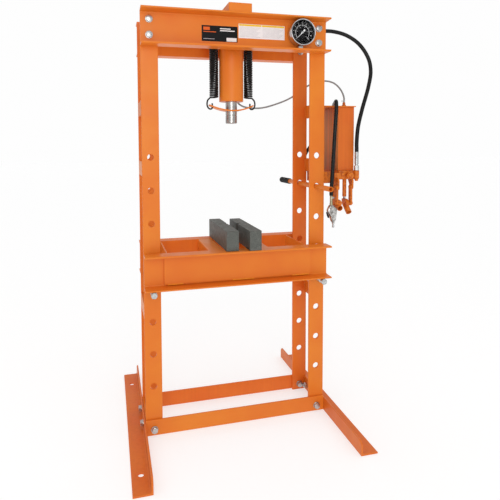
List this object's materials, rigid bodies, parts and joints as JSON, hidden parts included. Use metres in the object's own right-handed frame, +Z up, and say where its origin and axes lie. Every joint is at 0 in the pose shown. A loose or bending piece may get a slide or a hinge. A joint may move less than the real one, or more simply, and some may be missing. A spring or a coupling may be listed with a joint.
{
  "type": "hydraulic shop press",
  "caption": "Floor-standing H-frame shop press with a hydraulic ram, pinned height-adjustable bed, arbor plates, gauge and a side-mounted hand and air pump.",
  "frame": {"origin": "centre of the press's footprint at floor level, hoses left out", "axes": "+Z up, -Y the front with the gauge, +X the pump side"},
  "size_m": [1.1252, 0.88, 1.785],
  "materials": {
    "orange_paint": "gloss industrial enamel",
    "dark_steel": "blackened steel",
    "bright_steel": "ground and polished",
    "zinc": "zinc plated",
    "chrome": "polished",
    "black_rubber": "satin hose cover",
    "spring_steel": "black",
    "grey_hose": "smooth",
    "glass": "clear",
    "needle_white": "white",
    "cast_alloy": "cast"
  },
  "bodies": {
    "frame": {"column_front_left": "orange_paint", "column_front_right": "orange_paint", "column_rear_left": "orange_paint", "column_rear_right": "orange_paint", "batten_left_1": "orange_paint", "batten_left_2": "orange_paint", "batten_left_3": "orange_paint", "batten_right_1": "orange_paint", "batten_right_2": "orange_paint", "batten_right_3": "orange_paint", "foot_plate_left": "orange_paint", "foot_plate_right": "orange_paint", "crosshead_channel_front": "orange_paint", "crosshead_channel_rear": "orange_paint", "crosshead_saddle": "orange_paint", "crosshead_bolt_left_upper": "zinc", "crosshead_bolt_left_lower": "zinc", "crosshead_bolt_right_upper": "zinc", "crosshead_bolt_right_lower": "zinc", "foot_left": "orange_paint", "foot_right": "orange_paint", "spreader_front": "orange_paint", "spreader_rear": "orange_paint", "cylinder_barrel": "orange_paint", "return_spring_left": "spring_steel", "return_spring_right": "spring_steel", "gauge_case": "chrome", "gauge_lens": "glass", "gauge_stem": "dark_steel", "oil_tank": "orange_paint", "oil_tank_lid": "orange_paint", "breather": "orange_paint", "tank_bracket": "orange_paint", "pump_block": "orange_paint", "hose_fitting": "zinc", "air_valve": "cast_alloy", "pressure_hose": "black_rubber", "return_hose": "grey_hose", "air_hose": "black_rubber"},
    "ram_unit": {"ram": "bright_steel", "spring_yoke": "orange_paint"},
    "bed": {"bed_channel_front": "orange_paint", "bed_channel_rear": "orange_paint", "bed_front_plate": "orange_paint", "bed_end_plate_left": "orange_paint", "bed_end_plate_right": "orange_paint", "bed_spacer_left": "orange_paint", "bed_spacer_right": "orange_paint"},
    "pin_left": {"bed_pin_left": "zinc"},
    "pin_right": {"bed_pin_right": "zinc"},
    "block_left": {"arbor_block_left": "dark_steel"},
    "block_right": {"arbor_block_right": "dark_steel"},
    "needle": {"gauge_needle": "needle_white"},
    "lever_left": {"pump_lever_left": "orange_paint"},
    "lever_right": {"pump_lever_right": "orange_paint"},
    "plunger_left": {"pump_plunger_left": "bright_steel"},
    "plunger_right": {"pump_plunger_right": "bright_steel"},
    "stored_handle": {"pump_handle": "orange_paint", "handle_grip": "black_rubber"},
    "trigger": {"air_valve_trigger": "black_rubber"}
  },
  "joints": [
    {"name": "ram_slide", "type": "slide", "parent": "frame", "child": "ram_unit", "axis": [0, 0, -1], "range_m": [0, 0.15], "stiffness_N_per_m": 1500, "springref_m": -0.08, "deforming": ["return_spring_left", "return_spring_right"]},
    {"name": "bed_lift", "type": "slide", "parent": "frame", "child": "bed", "axis": [0, 0, 1], "range_m": [0, 0.1362]},
    {"name": "pin_left_slide", "type": "slide", "parent": "frame", "child": "pin_left", "axis": [0, -1, 0], "range_m": [0, 0.3]},
    {"name": "pin_right_slide", "type": "slide", "parent": "frame", "child": "pin_right", "axis": [0, -1, 0], "range_m": [0, 0.3]},
    {"name": "block_left_slide", "type": "slide", "parent": "bed", "child": "block_left", "axis": [1, 0, 0], "range_m": [-0.15, 0.02]},
    {"name": "block_right_slide", "type": "slide", "parent": "bed", "child": "block_right", "axis": [1, 0, 0], "range_m": [-0.02, 0.15]},
    {"name": "gauge_needle_turn", "type": "hinge", "parent": "frame", "child": "needle", "pos_m": [0.22615, -0.1436, 1.6836], "axis": [0, 1, 0], "range_deg": [0, 270], "stiffness_Nm_per_rad": 0.0004, "springref_deg": -5.73},
    {"name": "pump_lever_left_swing", "type": "hinge", "parent": "frame", "child": "lever_left", "pos_m": [0.41515, -0.12, 0.95], "axis": [-1, 0, 0], "range_deg": [0, 25]},
    {"name": "pump_lever_right_swing", "type": "hinge", "parent": "frame", "child": "lever_right", "pos_m": [0.46515, -0.1, 0.944], "axis": [-1, 0, 0], "range_deg": [0, 25]},
    {"name": "plunger_left_stroke", "type": "slide", "parent": "frame", "child": "plunger_left", "axis": [0, 0, 1], "range_m": [-0.018, 0.001]},
    {"name": "plunger_right_stroke", "type": "slide", "parent": "frame", "child": "plunger_right", "axis": [0, 0, 1], "range_m": [-0.012, 0.001]},
    {"name": "handle_slide", "type": "slide", "parent": "frame", "child": "stored_handle", "axis": [0, 1, 0], "range_m": [-0.1, 0.34]},
    {"name": "air_trigger_press", "type": "hinge", "parent": "frame", "child": "trigger", "pos_m": [0.35365, -0.126, 0.91], "axis": [0, 1, 0], "range_deg": [-4, 0], "stiffness_Nm_per_rad": 0.4, "springref_deg": 2.86}
  ],
  "couplings": [
    {"joint": "plunger_left_stroke", "follows": "pump_lever_left_swing", "m_per_rad": -0.038},
    {"joint": "plunger_right_stroke", "follows": "pump_lever_right_swing", "m_per_rad": -0.016}
  ]
}
